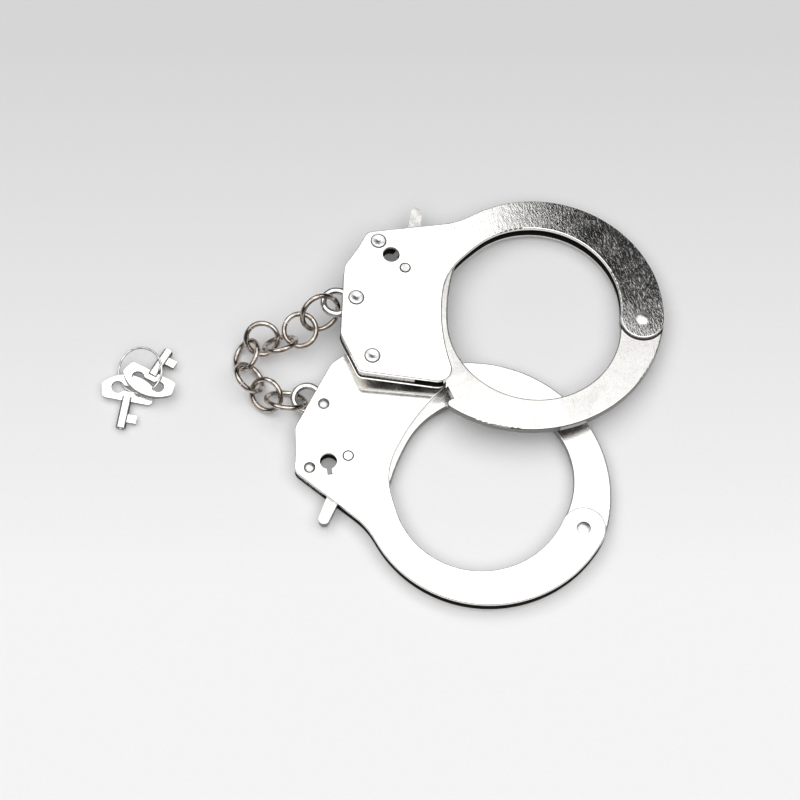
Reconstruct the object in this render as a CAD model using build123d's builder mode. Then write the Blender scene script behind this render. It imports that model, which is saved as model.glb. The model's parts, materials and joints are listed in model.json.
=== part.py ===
"""A pair of chain-linked handcuffs lying on a table, the upper cuff turned over and leaning on the
lower one, with two keys on a thin ring beside them.

Every cuff is built in its own frame: the hinge rivet is the origin, +X points from the lock to the
hinge, +Z is the side with the slotted keyhole, and the outer face of the back plate is Z = 0."""

import os
from math import cos, degrees, radians, sin, sqrt

from build123d import *

os.makedirs("parts", exist_ok=True)

# ---------------------------------------------------------------- driving dimensions, millimetres
PLATE = 1.2                     # sheet of the cheek plates
GAP = 3.2                       # space between the two cheek plates
EDGE_ROLL = 0.4                 # rolled outer edge of the plates
RUNNING = 0.05                  # radial gap of every turning joint
SIDE_PLAY = 0.1                 # gap between a moving piece and a plate
BOW_ROUNDING = 0.5

HINGE_BOSS = 7.0                # rounded end of the arms and of the bow
ARM_OUTER_R = 40.2              # outside curve of the fixed arms
ARM_INNER_TURN = 3.7            # the inside curve of the arms is turned this far about the hinge
LOCK_EDGE = 64.2                # hinge to the hollow edge of the lock
TONGUE_IN = 62.3                # hinge to the smooth edge of the toothed tongue
TONGUE_OUT = 68.5               # hinge to the tips of the teeth
TONGUE_END = -19.0              # angle above the lock's axis of the end of the tongue
BOW_OUTER_R = 44.7              # outside curve of the bow
BOW_OUTER_TURN = -3.9
BOW_INNER_TURN = 6.0
SHOULDER = 29.0                 # angle above the lock's axis of the shoulder of the bow

TOOTH_PITCH = 1.5               # degrees about the hinge
TOOTH_DEPTH = 1.0
TOOTH_LEAN = 0.4                # degrees that the locking faces lean over
PAWL_TEETH = 5
PAWL_FIRST = 0.0                # angle above the lock's axis of the first pawl tooth
PAWL_RELEASE = 5.5              # degrees from meshed to released, as modelled

RIVET_UPPER = (-85.6, -20.8)    # three rivets hold the lock together
RIVET_MIDDLE = (-91.6, 0.4)
RIVET_LOWER = (-85.4, 20.8)
KEYHOLE = (-81.3, -16.2)
PAWL_PIN = (-76.6, -11.75)
RIVET_SHANK = 1.5
RIVET_HEAD = 1.9                # round head on the keyhole side
RIVET_RISE = 0.8
CLENCH_HEAD = 2.6               # wider closed head on the other side
CLENCH_RISE = 0.7
CLENCH_DIMPLE = 1.1
CLENCH_SINK = 0.35              # depth of the dimple
CLENCH_ROLL = 0.7               # rounded rim of the closed head
HINGE_SHANK = 2.0
HINGE_HEAD = 2.3
HINGE_RISE = 0.6
PIN_SHANK = 1.85
FLUSH = 0.08                    # the pawl pin stands proud of the plates by this much

KEYHOLE_R = 2.75
KEY_SLOT = 1.7
KEY_SLOT_REACH = 4.6            # keyhole centre to the end of the slot
KEY_SLOT_TURN = -56.0           # direction of the slot
KEY_SWEEP = 4.3                 # room for the bit of a key to turn

EYE_R = 4.2                     # swivel eye, centre line
EYE_WIRE = 1.15
EYE_REACH = 6.2                 # middle rivet to the middle of the eye
EYE_BOSS = 3.0
EYE_ROOM = 0.15                 # gap round the eye inside the lock
EYE_SWING = 16.0                # each way from straight out of the lock

LINK_R = 5.15                   # chain link, centre line
END_LINK_R = 6.15               # the links in the swivel eyes are larger
LINK_WIRE = 0.85
LINK_SEAM = 0.25                # gap at the joint of a link
SEAM_TURN = 25.0                # the joints lie this far to either side of the outside of the bend

KEY_HANDLE = 17.6               # across the handle
KEY_HANDLE_DEEP = 8.8
KEY_SHEET = 1.2
KEY_SHANK = 1.6
KEY_LENGTH = 13.6               # middle of the handle to the tip
KEY_BORE = 1.0
RING_R = 7.33
RING_WIRE = 0.35

# ---------------------------------------------------------------- sizes worked out from them
STACK = GAP + 2 * PLATE         # outer face to outer face of a cuff
MIDDLE = STACK / 2
MOVING = GAP - 2 * SIDE_PLAY    # thickness of the bow and of the pawl
TONGUE_ROOT = TONGUE_OUT - TOOTH_DEPTH


def polar(radius, angle):
    """Point at a distance from the hinge; the angle is measured from the lock's axis."""
    return (-radius * cos(radians(angle)), radius * sin(radians(angle)))


def around(centre, radius, angle):
    """Point on a circle, with the usual angle from +X."""
    return (centre[0] + radius * cos(radians(angle)), centre[1] + radius * sin(radians(angle)))


def arc_over(centre, radius, start, end):
    """Arc of a circle from one angle to another, in the sense in which the angle changes."""
    return ThreePointArc(around(centre, radius, start), around(centre, radius, (start + end) / 2),
                         around(centre, radius, end))


def arc_hinge(radius, start, end):
    """Arc about the hinge between two angles above the lock's axis."""
    return ThreePointArc(polar(radius, start), polar(radius, (start + end) / 2), polar(radius, end))


# the inside curves of the arms and of the bow touch the boss and the inner edge of the tongue
OPENING_R = (TONGUE_IN - HINGE_BOSS) / 2
ARM_OPENING = polar(TONGUE_IN - OPENING_R, -ARM_INNER_TURN)
BOW_OPENING = polar(TONGUE_IN - OPENING_R, BOW_INNER_TURN)
ARM_BACK = (HINGE_BOSS - ARM_OUTER_R, 0.0)
BOW_BACK = polar(BOW_OUTER_R - HINGE_BOSS, BOW_OUTER_TURN)

# corners of the lock, going round from the mouth for the tongue to the side of the release lever
MOUTH_TURN = 26.3               # angle above the lock's axis of the corner at the mouth
LOCK_MOUTH = polar(LOCK_EDGE, MOUTH_TURN)
LOCK_LOWER = (-89.2, 26.4)
LOCK_SIDE_LOW = (-95.9, 13.8)
LOCK_SIDE_HIGH = (-96.1, -10.8)
LOCK_UPPER_HOLLOW = (-92.0, -18.0)
LOCK_UPPER = (-89.4, -24.0)
LOCK_FLARE = (-65.0, -29.1)
ARM_START = 236.0               # where the outside curve of the arms begins
EDGE_START = -3.5               # where the hollow edge of the lock begins
OPENING_LEFT = 224.0            # where the inside curve of the arms ends


def plate_outline():
    """Outline of a cheek plate, lock and arm in one."""
    Line(LOCK_MOUTH, LOCK_LOWER)
    Line(LOCK_LOWER, LOCK_SIDE_LOW)
    Line(LOCK_SIDE_LOW, LOCK_SIDE_HIGH)
    Line(LOCK_SIDE_HIGH, LOCK_UPPER_HOLLOW)
    Line(LOCK_UPPER_HOLLOW, LOCK_UPPER)
    Line(LOCK_UPPER, LOCK_FLARE)
    Spline(LOCK_FLARE, around(ARM_BACK, ARM_OUTER_R, ARM_START),
           tangents=[(LOCK_FLARE[0] - LOCK_UPPER[0], LOCK_FLARE[1] - LOCK_UPPER[1]),
                     (-sin(radians(ARM_START)), cos(radians(ARM_START)))])
    arc_over(ARM_BACK, ARM_OUTER_R, ARM_START, 360)
    arc_over((0, 0), HINGE_BOSS, 0, 180 + ARM_INNER_TURN)
    arc_over(ARM_OPENING, OPENING_R, ARM_INNER_TURN, OPENING_LEFT - 360)
    hollow = polar(LOCK_EDGE, EDGE_START)
    Spline(around(ARM_OPENING, OPENING_R, OPENING_LEFT), hollow,
           tangents=[(sin(radians(OPENING_LEFT)), -cos(radians(OPENING_LEFT))),
                     (sin(radians(EDGE_START)), cos(radians(EDGE_START)))])
    arc_hinge(LOCK_EDGE, EDGE_START, MOUTH_TURN)


def near(points, place, reach=0.5):
    """The points of a sketch that lie at a given place of the cuff's frame."""
    return [p for p in points if sqrt((p.X - place[0]) ** 2 + (p.Y - place[1]) ** 2) < reach]


CORNERS = ((LOCK_MOUTH, 4.5), (LOCK_LOWER, 2.2), (LOCK_SIDE_LOW, 5.0), (LOCK_SIDE_HIGH, 5.0),
           (LOCK_UPPER_HOLLOW, 12.0), (LOCK_UPPER, 3.2))

flat = Plane.XY
with BuildSketch(flat) as plate_shape:
    with BuildLine():
        plate_outline()
    make_face()
    for corner, radius in CORNERS:
        fillet(near(plate_shape.vertices(), corner), radius)


def cheek_plate(level, slotted):
    """One cheek plate; the slotted one has the keyhole for the bit of the key."""
    with BuildPart() as plate:
        with BuildSketch(flat.offset(level)):
            add(plate_shape.sketch)
            with Locations(RIVET_UPPER, RIVET_MIDDLE, RIVET_LOWER):
                Circle(RIVET_SHANK, mode=Mode.SUBTRACT)
            with Locations(PAWL_PIN):
                Circle(PIN_SHANK, mode=Mode.SUBTRACT)
            Circle(HINGE_SHANK, mode=Mode.SUBTRACT)
            with Locations(KEYHOLE):
                Circle(KEYHOLE_R, mode=Mode.SUBTRACT)
                if slotted:
                    with Locations(Location((0, 0, 0), (0, 0, KEY_SLOT_TURN))):
                        Rectangle(KEY_SLOT_REACH, KEY_SLOT, align=(Align.MIN, Align.CENTER),
                                  mode=Mode.SUBTRACT)
        extrude(amount=PLATE)
        face = plate.faces().sort_by(Axis.Z)[-1 if slotted else 0]
        fillet(face.outer_wire().edges(), EDGE_ROLL)
    return plate.part


# room inside the lock for the pawl, its spring and the bit of a key
SPACER_INSET = 0.4
ROOM_LEFT = -86.4
SPACER_MOUTH = -71.5            # the spacer ends here on the side of the mouth
SPACER_LEVER = -78.6            # and here on the side of the lever
ROOM = [(60, -60), (SPACER_LEVER, -60), (SPACER_LEVER, -21.4), (-84.2, -19.6), (ROOM_LEFT, -12.0),
        (ROOM_LEFT, 16.4), (-82.6, 18.2), (-80.6, 22.2), (SPACER_MOUTH, 22.2), (SPACER_MOUTH, 60),
        (60, 60)]
SPRING_FOOT = (ROOM_LEFT, 9.5)  # where the leaf spring is let into the spacer
SPRING_SHEET = 0.5
SPRING_GRIP = 1.2               # depth of the slot that holds the spring
SPRING_STRAIGHT = 1.6           # straight length of the spring past the spacer's edge
SPRING_TIP = (-80.2, 2.0)
SPRING_PLAY = 0.3               # gap between the spring and each plate


def lock_spacer():
    """The sheet stack that holds the cheek plates apart round three sides of the lock."""
    with BuildPart() as spacer:
        with BuildSketch(flat.offset(PLATE)):
            offset(plate_shape.sketch, amount=-SPACER_INSET)
            with BuildLine():
                Polyline(*ROOM, close=True)
            make_face(mode=Mode.SUBTRACT)
            with Locations(RIVET_UPPER, RIVET_MIDDLE, RIVET_LOWER):
                Circle(RIVET_SHANK, mode=Mode.SUBTRACT)
            with Locations(KEYHOLE):
                Circle(KEY_SWEEP, mode=Mode.SUBTRACT)
            with Locations(RIVET_MIDDLE):
                Circle(EYE_BOSS + 2 * EYE_ROOM, mode=Mode.SUBTRACT)
                for turn in range(-2, 3):
                    angle = 180 + turn * (EYE_SWING + 1) / 2
                    with Locations(around((0, 0), EYE_REACH, angle)):
                        Circle(EYE_R + EYE_WIRE + EYE_ROOM, mode=Mode.SUBTRACT)
            with Locations(SPRING_FOOT):
                Rectangle(2 * SPRING_GRIP, SPRING_SHEET, mode=Mode.SUBTRACT)
        extrude(amount=GAP)
    return spacer.part


def lock_rivets():
    """The three rivets of the lock: round head on the keyhole side, dimpled closed head behind."""
    bulge = (RIVET_HEAD ** 2 + RIVET_RISE ** 2) / (2 * RIVET_RISE)
    rim = CLENCH_HEAD - CLENCH_ROLL
    with BuildPart() as rivets:
        for place in (RIVET_UPPER, RIVET_MIDDLE, RIVET_LOWER):
            with BuildSketch(Plane(origin=(*place, 0), x_dir=(1, 0, 0), z_dir=(0, -1, 0))):
                with BuildLine():
                    Polyline((0, STACK + RIVET_RISE), (0, CLENCH_SINK - CLENCH_RISE),
                             (CLENCH_DIMPLE, -CLENCH_RISE), (rim, -CLENCH_RISE))
                    RadiusArc((rim, -CLENCH_RISE), (CLENCH_HEAD, 0), -CLENCH_ROLL)
                    Polyline((CLENCH_HEAD, 0), (RIVET_SHANK, 0), (RIVET_SHANK, STACK), (RIVET_HEAD, STACK))
                    RadiusArc((RIVET_HEAD, STACK), (0, STACK + RIVET_RISE), -bulge)
                make_face()
            revolve(axis=Axis((*place, 0), (0, 0, 1)))
    return rivets.part


def pawl_pin():
    """The pin that the pawl turns on, pressed flush into both plates."""
    with BuildPart() as pin:
        with BuildSketch(flat.offset(-FLUSH)):
            with Locations(PAWL_PIN):
                Circle(PIN_SHANK)
        extrude(amount=STACK + 2 * FLUSH)
        chamfer(pin.edges().filter_by(GeomType.CIRCLE), FLUSH)
    return pin.part


def hinge_rivet():
    """The rivet that the bow turns on, with a low dome at each end."""
    bulge = (HINGE_HEAD ** 2 + HINGE_RISE ** 2) / (2 * HINGE_RISE)
    with BuildPart() as rivet:
        with BuildSketch(Plane.XZ):
            with BuildLine():
                Line((0, STACK + HINGE_RISE), (0, -HINGE_RISE))
                RadiusArc((0, -HINGE_RISE), (HINGE_HEAD, 0), -bulge)
                Polyline((HINGE_HEAD, 0), (HINGE_SHANK, 0), (HINGE_SHANK, STACK), (HINGE_HEAD, STACK))
                RadiusArc((HINGE_HEAD, STACK), (0, STACK + HINGE_RISE), -bulge)
            make_face()
        revolve(axis=Axis.Z)
    return rivet.part


TOOTH_LAND = 0.15               # flat at the foot of each tooth, degrees
FIRST_TOOTH = -16.5             # angle of the foot of the first tooth on the tongue
BOW_TEETH = 28
PAWL_SHIFT = 0.2                # degrees that the pawl's teeth stand back from the locking faces


def tooth_line(start, count, clear=0.0):
    """Points of a row of teeth, whose leaning locking faces look towards the shoulder."""
    points = []
    for k in range(count):
        foot = start + k * TOOTH_PITCH
        face = foot + TOOTH_PITCH - TOOTH_LAND
        points.append(polar(TONGUE_ROOT + clear, foot))
        points.append(polar(TONGUE_OUT + clear, face + TOOTH_LEAN))
        points.append(polar(TONGUE_ROOT + clear, face))
    return points


def bow(turn):
    """The swinging bow with its toothed tongue, closed by an extra turn about the hinge."""
    swing = BOW_OUTER_R - HINGE_BOSS
    along = swing * cos(radians(SHOULDER - BOW_OUTER_TURN))
    crest = polar(along + sqrt(along ** 2 - swing ** 2 + BOW_OUTER_R ** 2), SHOULDER)
    with BuildPart() as arm:
        with BuildSketch(flat.offset(PLATE + SIDE_PLAY)) as shape:
            with BuildLine():
                teeth = tooth_line(FIRST_TOOTH, BOW_TEETH)
                ThreePointArc(around((0, 0), HINGE_BOSS, -BOW_OUTER_TURN),
                              around(BOW_BACK, BOW_OUTER_R, 75), crest)
                Line(crest, polar(TONGUE_ROOT, SHOULDER))
                arc_hinge(TONGUE_ROOT, SHOULDER, FIRST_TOOTH + BOW_TEETH * TOOTH_PITCH - TOOTH_LAND)
                Polyline(*reversed(teeth))
                Line(teeth[0], polar(TONGUE_IN + 2.0, TONGUE_END))
                Line(polar(TONGUE_IN + 2.0, TONGUE_END), polar(TONGUE_IN, TONGUE_END + 1.5))
                arc_hinge(TONGUE_IN, TONGUE_END + 1.5, BOW_INNER_TURN)
                arc_over(BOW_OPENING, OPENING_R, 180 - BOW_INNER_TURN, -BOW_INNER_TURN)
                arc_over((0, 0), HINGE_BOSS, 180 - BOW_INNER_TURN, 360 - BOW_OUTER_TURN)
            make_face()
            fillet(near(shape.vertices(), crest), 1.6)
            Circle(HINGE_SHANK + RUNNING, mode=Mode.SUBTRACT)
        extrude(amount=MOVING)
        long_edges = [e for e in arm.edges().filter_by(GeomType.CIRCLE)
                      if e.length > 15 and e.radius < TONGUE_IN - 1 and e.radius > HINGE_BOSS - 0.5]
        fillet(long_edges, BOW_ROUNDING)
    return arm.part.rotate(Axis.Z, turn)


def released(point):
    """Turns a point of the meshed pawl about its pin to where the released pawl has it."""
    c, s = cos(radians(PAWL_RELEASE)), sin(radians(PAWL_RELEASE))
    x, y = point[0] - PAWL_PIN[0], point[1] - PAWL_PIN[1]
    return (PAWL_PIN[0] + c * x - s * y, PAWL_PIN[1] + s * x + c * y)


PAWL_BOSS = 3.1
LEVER_ROOT = (-74.4, -27.0)     # middle of the lever where it leaves the lock
LEVER_TIP = (-73.9, -35.3)
LEVER_WIDE = 2.0                # half widths
LEVER_NARROW = 1.7
PAWL_WAIST = 2.3                # half width of the pawl beside its pin
NOSE = TONGUE_OUT + 0.9         # the pawl stands this far back from the tips of the teeth
NOSE_START = 0.85               # degrees from the first tooth back to the flat above it


def pawl():
    """The pawl: teeth for the tongue above its pin, the release lever below it, one flat piece."""
    last = PAWL_FIRST + PAWL_TEETH * TOOTH_PITCH
    teeth = tooth_line(PAWL_FIRST + PAWL_SHIFT, PAWL_TEETH, PAWL_SHIFT)
    nose = [polar(NOSE, -7.0), polar(NOSE, PAWL_FIRST + NOSE_START)] + teeth
    nose += [polar(NOSE, last + 1.2), polar(NOSE + 0.6, last + 2.2), (-73.5, 12.4),
             (-77.2, 8.0), (-78.2, 0.0), (-79.6, -10.5), (-76.6, -13.0)]
    with BuildPart() as piece:
        with BuildSketch(flat.offset(PLATE + SIDE_PLAY)) as shape:
            with BuildLine():
                Polyline(*[released(p) for p in nose], close=True)
            make_face()
            with BuildLine():
                Polyline((PAWL_PIN[0] - PAWL_WAIST, PAWL_PIN[1]), (LEVER_ROOT[0] - LEVER_WIDE, LEVER_ROOT[1]),
                         (LEVER_TIP[0] - LEVER_NARROW, LEVER_TIP[1] + LEVER_NARROW),
                         (LEVER_TIP[0] + LEVER_NARROW, LEVER_TIP[1] + LEVER_NARROW),
                         (LEVER_ROOT[0] + LEVER_WIDE, LEVER_ROOT[1]), (PAWL_PIN[0] + PAWL_WAIST, PAWL_PIN[1]),
                         close=True)
            make_face()
            with Locations((LEVER_TIP[0], LEVER_TIP[1] + LEVER_NARROW)):
                Circle(LEVER_NARROW)
            with Locations(PAWL_PIN):
                Circle(PAWL_BOSS)
                Circle(PIN_SHANK + RUNNING, mode=Mode.SUBTRACT)
        extrude(amount=MOVING)
    return piece.part


def pawl_spring():
    """The bent leaf that presses the pawl against the tongue."""
    with BuildPart() as leaf:
        with BuildSketch(flat.offset(PLATE + SPRING_PLAY)):
            with BuildLine():
                foot = Line((SPRING_FOOT[0] - SPRING_GRIP, SPRING_FOOT[1]),
                            (SPRING_FOOT[0] + SPRING_STRAIGHT, SPRING_FOOT[1]))
                Spline(foot @ 1, SPRING_TIP, tangents=[(1, 0), (0.3, -1)])
            trace(line_width=SPRING_SHEET)
        extrude(amount=GAP - 2 * SPRING_PLAY)
    return leaf.part


def swivel_eye(turn):
    """The ring that the chain hangs on, with a boss that turns on the middle rivet."""
    centre = around(RIVET_MIDDLE, EYE_REACH, 180 + turn)
    with BuildPart() as eye:
        with BuildSketch(Plane(origin=(*centre, MIDDLE), x_dir=(1, 0, 0), z_dir=(0, -1, 0))):
            with Locations((EYE_R, 0)):
                Circle(EYE_WIRE)
        revolve(axis=Axis((*centre, MIDDLE), (0, 0, 1)))
        with BuildSketch(flat.offset(MIDDLE - EYE_WIRE)):
            with Locations(RIVET_MIDDLE):
                Circle(EYE_BOSS)
        extrude(amount=2 * EYE_WIRE)
        with BuildSketch(flat.offset(PLATE)):
            with Locations(RIVET_MIDDLE):
                Circle(RIVET_SHANK + RUNNING)
        extrude(amount=GAP, mode=Mode.SUBTRACT)
    return eye.part


def export(part, name, label):
    """Writes one sub-part to its own file."""
    part.label = label
    export_step(part, f"parts/{name}.step")


# ---------------------------------------------------------------- where everything lies
LEAN = 6.4                      # the upper cuff leans on the lower one by this angle
LEAN_TO = 52.0                  # direction in which it slopes down
lean_up = Vector(sin(radians(LEAN)) * cos(radians(LEAN_TO)), sin(radians(LEAN)) * sin(radians(LEAN_TO)),
                 cos(radians(LEAN)))
UPPER_TURN = -2.8
upper_along = Vector(cos(radians(UPPER_TURN)), sin(radians(UPPER_TURN)), 0)
upper_along = (upper_along - lean_up * upper_along.dot(lean_up)).normalized()
LOWER_TURN = -27.0
LOWER_HINGE = (62.51, -43.7, CLENCH_RISE)
UPPER_HINGE = (82.61, 27.0, 7.95)

lower_cuff = Plane(origin=LOWER_HINGE, z_dir=(0, 0, 1),
                   x_dir=(cos(radians(LOWER_TURN)), sin(radians(LOWER_TURN)), 0))
upper_cuff = Plane(origin=UPPER_HINGE, z_dir=-lean_up, x_dir=upper_along)

LOWER_EYE_TURN = -2.0
UPPER_EYE_TURN = -7.0

# the lower bow is closed by three more teeth than the upper one
CUFFS = (("lower", lower_cuff, 3 * TOOTH_PITCH, LOWER_EYE_TURN),
         ("upper", upper_cuff, 0.0, UPPER_EYE_TURN))

for name, cuff, bow_turn, eye_turn in CUFFS:
    pieces = {
        "front_cheek_plate": cheek_plate(PLATE + GAP, True),
        "back_cheek_plate": cheek_plate(0, False),
        "lock_spacer": lock_spacer(),
        "lock_rivets": lock_rivets(),
        "hinge_rivet": hinge_rivet(),
        "pawl_pin": pawl_pin(),
        "pawl_spring": pawl_spring(),
        "pawl_with_release_lever": pawl(),
        "bow": bow(bow_turn),
        "swivel_eye": swivel_eye(eye_turn),
    }
    for piece, solid in pieces.items():
        placed = solid.moved(cuff.location)
        export(placed, f"{name}_{piece}", f"{name} {piece}".replace("_", " "))

# links from the upper eye to the lower one: middle of each link, and its roll about the run of the chain
LINKS = (((-20.2, 27.7, 10.6), 58), ((-26.6, 22.6, 8.5), 27), ((-32.9, 18.2, 7.4), -46),
         ((-38.7, 20.2, 7.0), 38), ((-43.7, 15.4, 4.7), -46), ((-42.6, 7.6, 4.9), 44),
         ((-37.2, 1.7, 5.0), -47), ((-31.0, -0.3, 5.35), 46))


def eye_middle(cuff, turn):
    """Middle of a cuff's swivel eye."""
    return cuff.from_local_coords(Vector(*around(RIVET_MIDDLE, EYE_REACH, 180 + turn), MIDDLE))


stations = [eye_middle(upper_cuff, UPPER_EYE_TURN)] + [Vector(*middle) for middle, roll in LINKS]
stations.append(eye_middle(lower_cuff, LOWER_EYE_TURN))


def chain_link(number):
    """An open round-wire link, rolled about the run of the chain to one side or the other."""
    middle = stations[number]
    roll = radians(LINKS[number - 1][1])
    radius = END_LINK_R if number in (1, len(LINKS)) else LINK_R
    run = (stations[number + 1] - stations[number - 1]).normalized()
    side = Vector(0, 0, 1).cross(run).normalized()
    normal = run.cross(side) * cos(roll) + side * sin(roll)
    seam = side.cross(normal).rotate(Axis((0, 0, 0), normal), SEAM_TURN * (-1) ** number - 90)
    with BuildPart() as link:
        with BuildSketch(Plane(origin=middle, x_dir=seam, z_dir=seam.cross(normal))):
            with Locations((radius, 0)):
                Circle(LINK_WIRE)
        revolve(axis=Axis(middle, normal), revolution_arc=360 - degrees(LINK_SEAM / radius))
    return link.part


for number in range(1, len(LINKS) + 1):
    export(chain_link(number), f"chain_link_{number}", f"chain link {number}")


# ---------------------------------------------------------------- keys
KEY_CORNER = 1.3                # rounding of the corners of the handle
KEY_FLARE = 1.0                 # the handle widens by this much each side, from its straight edge
KEY_FLANK = 4.4                 # depth of the slanting sides of the handle
KEY_EYES = (3.6, 0.3)           # middle of each lobe of the hole
KEY_EYE_R = 2.1
KEY_WAIST = (5.0, 2.0)          # slot that joins the lobes
KEY_ROOT = 1.4                  # the shank starts this far inside the handle
KEY_BORE_DEEP = 7.0
KEY_BIT = (3.2, 2.6, 1.4)       # reach from inside the shank, width and thickness
KEY_BIT_BACK = 2.2              # from the tip to the bit


def key():
    """A key: flat handle with a waisted hole, hollow round shank along +Y, and a small bit."""
    half = KEY_HANDLE / 2
    deep = KEY_HANDLE_DEEP / 2
    low = deep - KEY_FLANK
    with BuildPart() as blank:
        with BuildSketch(flat.offset(-KEY_SHEET / 2)) as shape:
            with BuildLine():
                Line((-half + KEY_FLARE, deep), (half - KEY_FLARE, deep))
                Line((half - KEY_FLARE, deep), (half, low))
                ThreePointArc((half, low), (0, -deep), (-half, low))
                Line((-half, low), (-half + KEY_FLARE, deep))
            make_face()
            fillet(shape.vertices(), KEY_CORNER)
            with Locations((-KEY_EYES[0], KEY_EYES[1]), KEY_EYES):
                Circle(KEY_EYE_R, mode=Mode.SUBTRACT)
            with Locations((0, KEY_EYES[1])):
                Rectangle(*KEY_WAIST, mode=Mode.SUBTRACT)
        extrude(amount=KEY_SHEET)
        with BuildSketch(Plane(origin=(0, deep - KEY_ROOT, 0), x_dir=(1, 0, 0), z_dir=(0, 1, 0))):
            Circle(KEY_SHANK)
        extrude(amount=KEY_LENGTH - deep + KEY_ROOT)
        with BuildSketch(Plane(origin=(0, KEY_LENGTH, 0), x_dir=(1, 0, 0), z_dir=(0, -1, 0))):
            Circle(KEY_BORE)
        extrude(amount=KEY_BORE_DEEP, mode=Mode.SUBTRACT)
        with BuildSketch(flat.offset(-KEY_BIT[2] / 2)):
            with Locations((KEY_SHANK - 0.4, KEY_LENGTH - KEY_BIT_BACK)):
                Rectangle(KEY_BIT[0], KEY_BIT[1], align=(Align.MIN, Align.MAX))
        extrude(amount=KEY_BIT[2])
    return blank.part


def key_plane(middle, turn, drop, rise, up):
    """Where a key lies: how far it is turned, how much its tip drops and its bit side rises, degrees."""
    along = Vector(cos(radians(turn)), sin(radians(turn)), sin(radians(rise))).normalized()
    side = Vector(0, 0, up).cross(along).normalized() - Vector(0, 0, sin(radians(drop)))
    side = side - along * along.dot(side)
    return Plane(origin=middle, x_dir=along, z_dir=along.cross(side))


# key 1 lies over key 2, and key 2 is turned over
KEY_1_PLANE = key_plane((-75.05, 5.99, 4.26), -28, 10.8, -0.2, 1)
KEY_2_PLANE = key_plane((-80.96, 5.06, 2.01), -10, 1.5, -3.3, -1)
RING_PLANE = Plane(origin=(-77.47, 10.56, 3.83), z_dir=(-0.3, -0.233, 0.925))


def key_ring():
    """The thin wire ring of the keys."""
    with BuildPart() as ring:
        with BuildSketch(Plane(origin=RING_PLANE.origin, x_dir=RING_PLANE.x_dir,
                               z_dir=RING_PLANE.x_dir.cross(RING_PLANE.z_dir))):
            with Locations((RING_R, 0)):
                Circle(RING_WIRE)
        revolve(axis=Axis(RING_PLANE.origin, RING_PLANE.z_dir))
    return ring.part


export(key_ring(), "key_ring", "key ring")
export(key().moved(KEY_1_PLANE.location), "key_1", "key 1")
export(key().moved(KEY_2_PLANE.location), "key_2", "key 2")
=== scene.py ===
import json
from math import cos, pi, radians, sin

import bpy
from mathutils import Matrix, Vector

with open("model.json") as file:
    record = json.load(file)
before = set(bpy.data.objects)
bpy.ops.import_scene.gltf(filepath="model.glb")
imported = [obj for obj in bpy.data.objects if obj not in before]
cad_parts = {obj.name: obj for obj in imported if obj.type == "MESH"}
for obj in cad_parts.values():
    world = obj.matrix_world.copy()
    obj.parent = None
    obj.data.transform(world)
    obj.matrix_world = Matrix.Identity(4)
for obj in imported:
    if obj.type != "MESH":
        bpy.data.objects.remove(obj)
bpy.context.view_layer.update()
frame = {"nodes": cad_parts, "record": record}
record = frame["record"]
MM = 0.001


# ---------------------------------------------------------------- node helpers
class Nodes:
    """Short names for building a node tree."""

    def __init__(self, tree):
        self.tree = tree
        self.tree.nodes.clear()

    def add(self, kind, inputs=None, **settings):
        node = self.tree.nodes.new(kind)
        for name, value in settings.items():
            setattr(node, name, value)
        for name, value in (inputs or {}).items():
            self.put(node.inputs[name], value)
        return node

    def put(self, socket, value):
        if isinstance(value, bpy.types.NodeSocket):
            self.tree.links.new(value, socket)
        else:
            socket.default_value = value

    def math(self, operation, a, b=0.0, c=0.0, clamp=False):
        node = self.add("ShaderNodeMath", {0: a, 1: b, 2: c}, operation=operation, use_clamp=clamp)
        return node.outputs[0]

    def vector(self, operation, a, b=(0, 0, 0)):
        node = self.add("ShaderNodeVectorMath", {0: a, 1: b}, operation=operation)
        return node.outputs["Value"] if operation in ("DOT_PRODUCT", "LENGTH") else node.outputs[0]

    def ramp(self, value, low, high, to_low=0.0, to_high=1.0, smooth=True):
        node = self.add("ShaderNodeMapRange", {"Value": value, "From Min": low, "From Max": high,
                                               "To Min": to_low, "To Max": to_high})
        node.interpolation_type = "SMOOTHSTEP" if smooth else "LINEAR"
        return node.outputs[0]

    def mix(self, factor, a, b):
        node = self.add("ShaderNodeMix", data_type="RGBA")
        self.put(node.inputs["Factor"], factor)
        self.put(node.inputs[6], a)
        self.put(node.inputs[7], b)
        return node.outputs[2]

    def noise(self, where, scale, detail=3.0, rough=0.55, distort=0.0):
        node = self.add("ShaderNodeTexNoise", {"Vector": where, "Scale": scale, "Detail": detail,
                                               "Roughness": rough, "Distortion": distort})
        return node.outputs["Fac"]

    def place(self, turn=(0, 0, 0), stretch=(1, 1, 1)):
        """Row-frame coordinates of the piece at rest, turned and then stretched."""
        coords = self.add("ShaderNodeTexCoord").outputs["Object"]
        turned = self.add("ShaderNodeMapping", {"Vector": coords, "Rotation": turn}).outputs[0]
        return self.vector("MULTIPLY", turned, stretch)

    def bump(self, height, distance, strength=1.0, normal=None):
        node = self.add("ShaderNodeBump", {"Height": height, "Distance": distance, "Strength": strength})
        if normal is not None:
            self.put(node.inputs["Normal"], normal)
        return node.outputs[0]


def material(name):
    made = bpy.data.materials.new(name)
    made.use_nodes = True
    return made, Nodes(made.node_tree)


def finish_metal(nodes, color, rough, normal):
    shader = nodes.add("ShaderNodeBsdfPrincipled", {"Base Color": color, "Metallic": 1.0, "Roughness": rough,
                                                    "Normal": normal})
    nodes.add("ShaderNodeOutputMaterial", {"Surface": shader.outputs[0]})


def pivot(joint_name):
    """Rest position and axis of a joint of the record."""
    joint = next(j for j in record["behaviour"]["joints"] if j["name"] == joint_name)
    return joint["pos_m"], joint["axis"]


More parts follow.
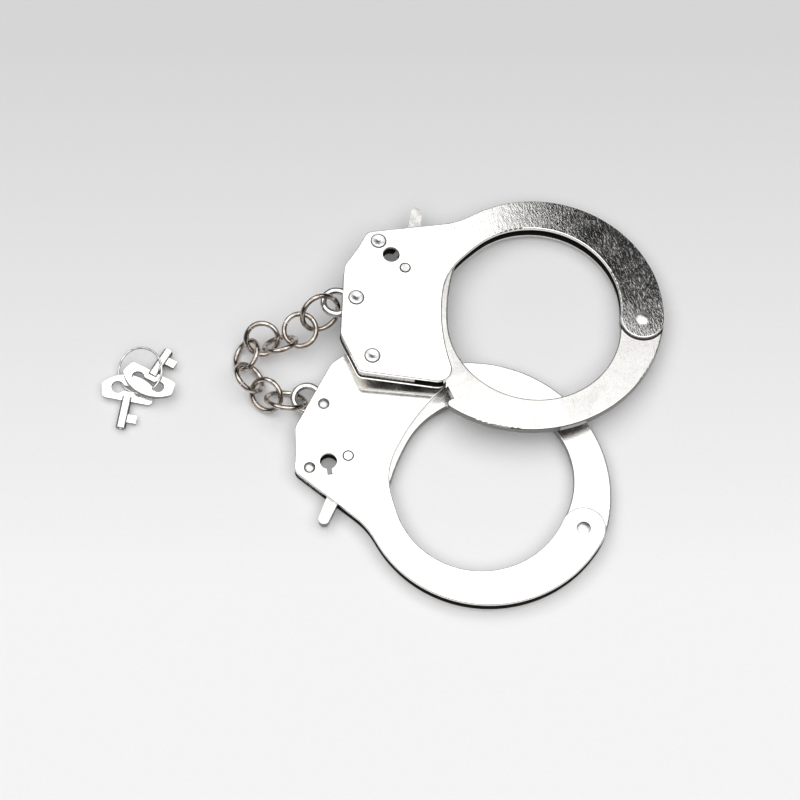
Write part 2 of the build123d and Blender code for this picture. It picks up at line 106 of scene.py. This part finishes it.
def height_over(n, joint_name):
    """Distance of the shaded point from the middle plane of its cuff."""
    place, axis = pivot(joint_name)
    return n.math("ABSOLUTE", n.vector("DOT_PRODUCT", n.vector("SUBTRACT", n.place(), tuple(place)), tuple(axis)))


def away_from(n, joint_name):
    """Distance of the shaded point from the axis of a joint."""
    place, axis = pivot(joint_name)
    return n.vector("LENGTH", n.vector("CROSS_PRODUCT", n.vector("SUBTRACT", n.place(), tuple(place)), tuple(axis)))


def steepness(n):
    """0 on faces that look up or down, 1 on upright ones."""
    facing = n.add("ShaderNodeSeparateXYZ", {0: n.add("ShaderNodeNewGeometry").outputs["True Normal"]}).outputs[2]
    return n.ramp(n.math("ABSOLUTE", facing), 0.55, 0.92, 1.0, 0.0)


# ---------------------------------------------------------------- materials
def scratches(nodes, turn, seed, scale=1.0):
    """Thin random scratches along one direction, 0 to 1."""
    where = nodes.place(turn=(0, 0, turn), stretch=(scale * 2600, scale * 60, 400))
    where = nodes.vector("ADD", where, (seed, seed * 1.7, 0))
    lines = nodes.noise(where, 1.0, detail=1.0)
    patches = nodes.noise(nodes.place(stretch=(1, 1, 1)), 90.0 + seed, detail=1.0)
    thin = nodes.ramp(lines, 0.66, 0.74)
    return nodes.math("MULTIPLY", thin, nodes.ramp(patches, 0.48, 0.62))


BOSS_SHADE = {"lower": 0.25, "upper": 1.0}                      # how dark the shade by each hinge boss is


def plate_metal(name, turn, side, warp=None, walls=0.0):
    """Nickel plate over ground sheet: short grinding strokes, soft waves, fine scratches.

    turn is the direction of the strokes, side the cuff, warp a slight bow of the sheet, and walls how
    dark the painted shade on the upright faces is. The faces that look into the lock get painted shade, near black, and
    are made dull.
    """
    made, n = material(name)
    stroke = (3400, 700, 700) if warp is None else (2500, 600, 600)
    strokes = n.noise(n.place(turn=(0, 0, turn), stretch=stroke), 1.0, detail=3.0, rough=0.65)
    coarse = n.noise(n.place(turn=(0, 0, turn + 0.35), stretch=(1500, 420, 420)), 1.0, detail=2.0)
    waves = n.noise(n.place(), 55.0, detail=2.0)
    smudge = n.noise(n.place(), 130.0, detail=4.0, distort=0.6)
    lines = n.math("MAXIMUM", scratches(n, turn + 0.9, 3.0), scratches(n, turn - 0.5, 11.0, 0.8))
    rough = n.math("ADD", n.ramp(smudge, 0.35, 0.75, 0.10, 0.17), n.ramp(strokes, 0.3, 0.8, 0.0, 0.05))
    rough = n.math("ADD", rough, n.math("MULTIPLY", lines, 0.12))
    tone = n.mix(n.ramp(strokes, 0.30, 0.72), (0.80, 0.785, 0.76, 1), (0.90, 0.89, 0.875, 1))
    tone = n.mix(n.math("MULTIPLY", n.ramp(smudge, 0.55, 0.8), 0.25), tone, (0.74, 0.72, 0.69, 1))
    # painted shade: faces near the middle plane of the cuff, between the plates inside the lock, are painted near black
    inside_shade = n.ramp(height_over(n, side + "_bow_hinge"), 0.00164, 0.00168, 1.0, 0.0, smooth=False)
    inside_shade = n.math("MULTIPLY", inside_shade, 1.0 - walls)
    # painted shade on upright faces, standing in for the shade in the gaps beside them
    dark = n.math("MAXIMUM", inside_shade, n.math("MULTIPLY", steepness(n), walls))
    if walls:                                                 # shade of the boss of the plate on the bow
        shade = n.ramp(away_from(n, side + "_bow_hinge"), 0.00745, 0.00765, BOSS_SHADE[side], 0.0)
        dark = n.math("MAXIMUM", dark, shade)
    # the painted shade inside the lock, on upright faces and by the boss darkens the colour here
    tone = n.mix(dark, tone, (0.045, 0.04, 0.036, 1))
    rough = n.math("ADD", rough, n.math("MULTIPLY", inside_shade, 0.4))
    base = n.add("ShaderNodeNewGeometry").outputs["Normal"]
    if warp is not None:
        base = warp(n, base)
    normal = n.bump(waves, 0.00007, 0.5, base)
    depth = 0.000012
    if warp is not None:                                      # deeper, rougher strokes towards the hinge
        far = n.ramp(n.add("ShaderNodeSeparateXYZ", {0: n.place()}).outputs[0], 0.022, 0.062)
        depth = n.ramp(far, 0.0, 1.0, 0.000010, 0.000044, smooth=False)
        rough = n.math("ADD", rough, n.math("MULTIPLY", far, n.ramp(strokes, 0.50, 0.70, 0.0, 0.16)))
    normal = n.bump(coarse, depth, 1.0, normal)
    normal = n.bump(strokes, depth, 1.0, normal)
    normal = n.bump(lines, -0.000006, 1.0, normal)
    finish_metal(n, tone, rough, normal)
    return made


def cast_metal(name, dark, light, rough_low, rough_high, grain=900.0, depth=0.000012, edges=0.0, ring=None,
               lift=0.0):
    """Plated fittings: a little mottled, with soft dents and wear, painted shade on upright faces, or darker in a ring.
    """
    made, n = material(name)
    mottle = n.noise(n.place(), 420.0, detail=4.0, distort=0.4)
    fine = n.noise(n.place(), grain * 3.0, detail=3.0)
    dents = n.noise(n.place(), grain * 0.45, detail=2.0)
    tone = n.mix(n.ramp(mottle, 0.35, 0.7), dark, light)
    # painted shade: upright faces (edges of rivets, lever and keys) are painted dark
    if edges:
        tone = n.mix(n.math("MULTIPLY", steepness(n), edges), tone, (0.06, 0.055, 0.05, 1))
    if ring:
        tone = n.mix(n.ramp(away_from(n, ring), 0.00132, 0.00142), tone, (0.05, 0.048, 0.045, 1))
    rough = n.ramp(fine, 0.25, 0.8, rough_low, rough_high)
    base = n.add("ShaderNodeNewGeometry").outputs["Normal"]
    base = n.vector("NORMALIZE", n.vector("ADD", base, (0.0, -0.3 * lift, lift)))
    normal = n.bump(dents, depth * 2.5, 0.8, base)
    normal = n.bump(fine, depth, 0.8, normal)
    finish_metal(n, tone, rough, normal)
    return made


def layered_metal(name):
    """Stack of stamped sheets: dark seams between the sheets, torn edge marks across them."""
    made, n = material(name)
    coords = n.place()
    height = n.add("ShaderNodeSeparateXYZ", {0: coords}).outputs[2]
    wave = n.math("SINE", n.math("MULTIPLY", height, 2 * pi / 0.0008))
    seams = n.ramp(wave, 0.55, 0.98)
    tears = n.noise(n.place(stretch=(2400, 2400, 500)), 1.0, detail=3.0)
    tone = n.mix(n.ramp(tears, 0.35, 0.7), (0.42, 0.41, 0.40, 1), (0.72, 0.71, 0.70, 1))
    tone = n.mix(seams, tone, (0.10, 0.095, 0.09, 1))
    normal = n.bump(seams, -0.00012, 1.0)
    normal = n.bump(tears, 0.00004, 0.8, normal)
    finish_metal(n, tone, n.ramp(tears, 0.3, 0.8, 0.22, 0.42), normal)
    return made


def upper_warp(n, normal):
    """The free arms of the upper cuff are very slightly bowed, which turns their shine."""
    split = n.add("ShaderNodeSeparateXYZ", {0: n.place()})
    along = n.ramp(split.outputs[0], 0.030, 0.076, 0.0, 1.0)
    back = n.ramp(split.outputs[1], 0.001, 0.047, 0.0, 1.0)
    bow = n.math("MULTIPLY", along, n.math("ADD", n.math("MULTIPLY", back, 0.92), 0.08))
    tilt = n.add("ShaderNodeCombineXYZ", {0: n.math("MULTIPLY", bow, 0.034),
                                          1: n.math("MULTIPLY", bow, 0.100), 2: 0.0})
    return n.vector("NORMALIZE", n.vector("ADD", normal, tilt.outputs[0]))


LOWER_GRAIN = radians(27.0)
UPPER_GRAIN = radians(-22.0)
BRIGHT = (0.93, 0.93, 0.925, 1)
looks = {
    "lower_plate": plate_metal("lower_plate_nickel", LOWER_GRAIN, "lower"),
    "upper_plate": plate_metal("upper_plate_nickel", UPPER_GRAIN, "upper", upper_warp),
    "lower_bow": plate_metal("lower_bow_nickel", LOWER_GRAIN + 0.7, "lower", walls=0.8),
    "upper_bow": plate_metal("upper_bow_nickel", UPPER_GRAIN + 0.7, "upper", walls=0.8),
    "eye": cast_metal("eye_nickel", (0.60, 0.60, 0.59, 1), (0.80, 0.80, 0.79, 1), 0.08, 0.2),
    "rivet": cast_metal("rivet_nickel", (0.60, 0.60, 0.60, 1), BRIGHT, 0.26, 0.44, grain=1500, depth=0.00004,
                        edges=0.75),
    "lower_pin": cast_metal("lower_pin", (0.66, 0.66, 0.65, 1), BRIGHT, 0.18, 0.34, depth=0.00003,
                            ring="lower_pawl_pivot"),
    "upper_pin": cast_metal("upper_pin", (0.66, 0.66, 0.65, 1), BRIGHT, 0.18, 0.34, depth=0.00003,
                            ring="upper_pawl_pivot"),
    "steel": cast_metal("lock_steel", (0.16, 0.145, 0.13, 1), (0.32, 0.29, 0.27, 1), 0.3, 0.5),
    "lever": cast_metal("lever_nickel", (0.55, 0.54, 0.52, 1), (0.80, 0.79, 0.77, 1), 0.2, 0.36, edges=0.85),
    "layers": layered_metal("spacer_sheets"),
    "chain": cast_metal("chain_nickel", (0.30, 0.26, 0.23, 1), (0.70, 0.645, 0.59, 1), 0.04, 0.12),
    "key": cast_metal("key_nickel", (0.80, 0.79, 0.77, 1), BRIGHT, 0.2, 0.34, edges=0.6, lift=0.7),
    "ring": cast_metal("ring_wire", (0.42, 0.41, 0.40, 1), (0.85, 0.85, 0.84, 1), 0.08, 0.2),
}


def look_for(node):
    side = "lower" if node.startswith("lower") else "upper"
    if "cheek_plate" in node:
        return looks[side + "_plate"]
    if node.endswith("_bow"):
        return looks[side + "_bow"]
    if "pawl_pin" in node:
        return looks[side + "_pin"]
    for word, look in (("spacer", "layers"), ("release_lever", "lever"), ("spring", "steel"), ("rivet", "rivet"),
                       ("swivel_eye", "eye"), ("chain_link", "chain"), ("key_ring", "ring"), ("key", "key")):
        if word in node:
            return looks[look]
    return looks["steel"]


def soften(obj, bevel_width=0.0, angle=35.0):
    """Smooth shading that keeps flat faces flat and sharp edges sharp, and a small bevel on loose pieces."""
    obj.data.materials.clear()
    for polygon in obj.data.polygons:
        polygon.use_smooth = True
    weld = obj.modifiers.new("weld", "WELD")
    weld.merge_threshold = 0.000002
    if bevel_width:
        bevel = obj.modifiers.new("bevel", "BEVEL")
        bevel.width = bevel_width
        bevel.segments = 2
        bevel.limit_method = "ANGLE"
        bevel.angle_limit = radians(angle)
    else:
        split = obj.modifiers.new("split", "EDGE_SPLIT")
        split.split_angle = radians(angle)
    flatten = obj.modifiers.new("flatten", "WEIGHTED_NORMAL")
    flatten.mode = "FACE_AREA"
    flatten.weight = 100


for node, obj in frame["nodes"].items():
    if node.startswith(("chain_link", "key_ring")) or "swivel_eye" in node:
        soften(obj, angle=50.0)
    elif "spacer" in node:
        soften(obj, 0.00005)
    else:
        soften(obj)
    obj.data.materials.append(look_for(node))

# ---------------------------------------------------------------- floor
scene = bpy.context.scene
bpy.ops.mesh.primitive_plane_add(size=8.0, location=(0, 0, 0))
floor = bpy.context.object
floor.name = "floor"
paper, n = material("pale_paper")
grain = n.noise(n.add("ShaderNodeTexCoord").outputs["Object"], 900.0, detail=4.0)
away = n.add("ShaderNodeSeparateXYZ", {0: n.add("ShaderNodeTexCoord").outputs["Object"]}).outputs[1]
# painted shade: the paper is painted darker towards the far side (+y), in place of the light falling off across the
# table
tone = n.mix(n.ramp(away, -0.06, 0.13, smooth=False), (0.885, 0.885, 0.89, 1), (0.65, 0.65, 0.655, 1))
tone = n.mix(n.ramp(grain, 0.3, 0.7, 0.0, 0.02), tone, (0.3, 0.3, 0.3, 1))
sheet = n.add("ShaderNodeBsdfPrincipled", {"Base Color": tone, "Roughness": 0.9,
                                           "Normal": n.bump(grain, 0.00002, 0.4)})
n.put(sheet.inputs["Specular IOR Level"], 0.2)
n.add("ShaderNodeOutputMaterial", {"Surface": sheet.outputs[0]})
floor.data.materials.append(paper)

# ---------------------------------------------------------------- studio: one big soft light with a graded edge
world = bpy.data.worlds.new("studio")
scene.world = world
world.use_nodes = True
n = Nodes(world.node_tree)
ray = n.vector("NORMALIZE", n.add("ShaderNodeTexCoord").outputs["Generated"])
split = n.add("ShaderNodeSeparateXYZ", {0: ray})
rx, ry, rz = split.outputs
edge = n.math("ADD", n.math("MULTIPLY", rx, 0.5), n.math("MULTIPLY", ry, 0.866))
top = n.ramp(rz, 0.62, 0.76)                                  # the softbox overhead
flag = n.ramp(edge, 0.566, 0.600)                             # black flag behind and to the right of it
lift = n.ramp(rz, -0.05, 0.55)
low = n.mix(lift, (0.22, 0.21, 0.20, 1), (0.07, 0.066, 0.062, 1))
wall = n.ramp(rz, 0.02, 0.20)
low = n.mix(wall, (0.60, 0.59, 0.58, 1), low)
light = n.mix(top, low, (2.0, 2.0, 2.0, 1))
light = n.mix(n.math("MULTIPLY", flag, n.ramp(rz, 0.22, 0.40)), light, (0.012, 0.012, 0.013, 1))
seen = n.add("ShaderNodeLightPath").outputs["Is Camera Ray"]
light = n.mix(seen, light, (0.84, 0.84, 0.845, 1))
n.add("ShaderNodeOutputWorld", {"Surface": n.add("ShaderNodeBackground", {"Color": light, "Strength": 1.0}).outputs[0]})

# ---------------------------------------------------------------- camera: about 68 degrees above the table
ELEVATION = radians(68.0)
DISTANCE = 1.140
forward = Vector((0, cos(ELEVATION), -sin(ELEVATION)))
target = Vector((5.21, 0.80, 3.0)) * MM
camera = bpy.data.objects.new("camera", bpy.data.cameras.new("camera"))
scene.collection.objects.link(camera)
camera.location = target - forward * DISTANCE
camera.rotation_mode = "QUATERNION"
camera.rotation_quaternion = forward.to_track_quat("-Z", "Y")
camera.data.sensor_width = 36.0
camera.data.lens = 161.6
camera.data.clip_start = 0.05
camera.data.clip_end = 60.0
scene.camera = camera
scene.view_settings.view_transform = "Standard"
scene.view_settings.look = "None"
